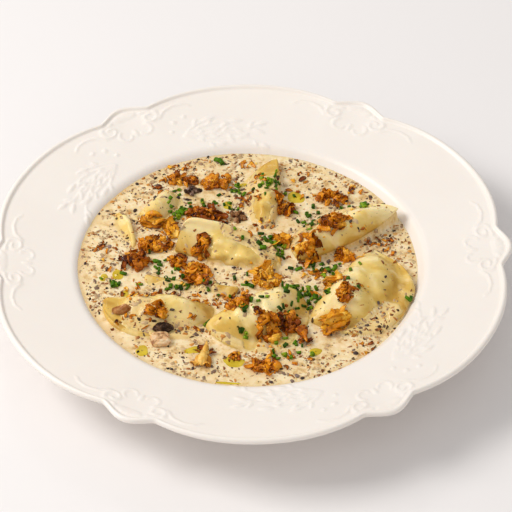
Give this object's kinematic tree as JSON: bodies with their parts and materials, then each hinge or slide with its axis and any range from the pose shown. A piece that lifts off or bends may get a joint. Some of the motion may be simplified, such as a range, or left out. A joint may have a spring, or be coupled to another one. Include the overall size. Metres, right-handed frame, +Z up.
{
  "type": "pierogi in mushroom cream sauce",
  "caption": "Plated meal: half-moon pierogi dumplings in a mushroom cream sauce, topped with crisp fried onions and chives, in a lobed soup plate with raised leaf ornament.",
  "frame": {"origin": "on the table under the plate's centre: the centre of the bounding box's bottom face", "axes": "+Z up out of the plate; -Y towards the diner; +X to the diner's right"},
  "size_m": [0.27, 0.2676, 0.0458],
  "materials": {
    "porcelain": "gloss",
    "sauce": "wet gloss",
    "dough": "moist satin",
    "fried_onion": "crisp satin",
    "onion_petal": "crisp satin",
    "mushroom": "moist"
  },
  "bodies": {
    "root": {"fried_onion_01": "fried_onion", "fried_onion_02": "fried_onion", "fried_onion_03": "fried_onion", "fried_onion_04": "fried_onion", "fried_onion_05": "fried_onion", "fried_onion_06": "fried_onion", "fried_onion_07": "fried_onion", "fried_onion_08": "fried_onion", "fried_onion_09": "fried_onion", "fried_onion_10": "fried_onion", "fried_onion_11": "fried_onion", "fried_onion_12": "fried_onion", "fried_onion_13": "fried_onion", "fried_onion_14": "fried_onion", "fried_onion_15": "fried_onion", "fried_onion_16": "fried_onion", "fried_onion_17": "fried_onion", "fried_onion_18": "fried_onion", "fried_onion_19": "fried_onion", "fried_onion_20": "fried_onion", "fried_onion_21": "fried_onion", "fried_onion_22": "fried_onion", "fried_onion_23": "fried_onion", "fried_onion_24": "fried_onion", "fried_onion_25": "fried_onion", "mushroom_01": "mushroom", "mushroom_02": "mushroom", "mushroom_03": "mushroom", "mushroom_04": "mushroom", "mushroom_05": "mushroom", "onion_petal_01": "onion_petal", "onion_petal_02": "onion_petal", "pierogi_back": "dough", "pierogi_back_left": "dough", "pierogi_back_right": "dough", "pierogi_centre": "dough", "pierogi_front": "dough", "pierogi_front_left": "dough", "pierogi_left": "dough", "pierogi_right": "dough", "pierogi_sunken": "dough", "plate": "porcelain", "sauce": "sauce"}
  },
  "joints": []
}
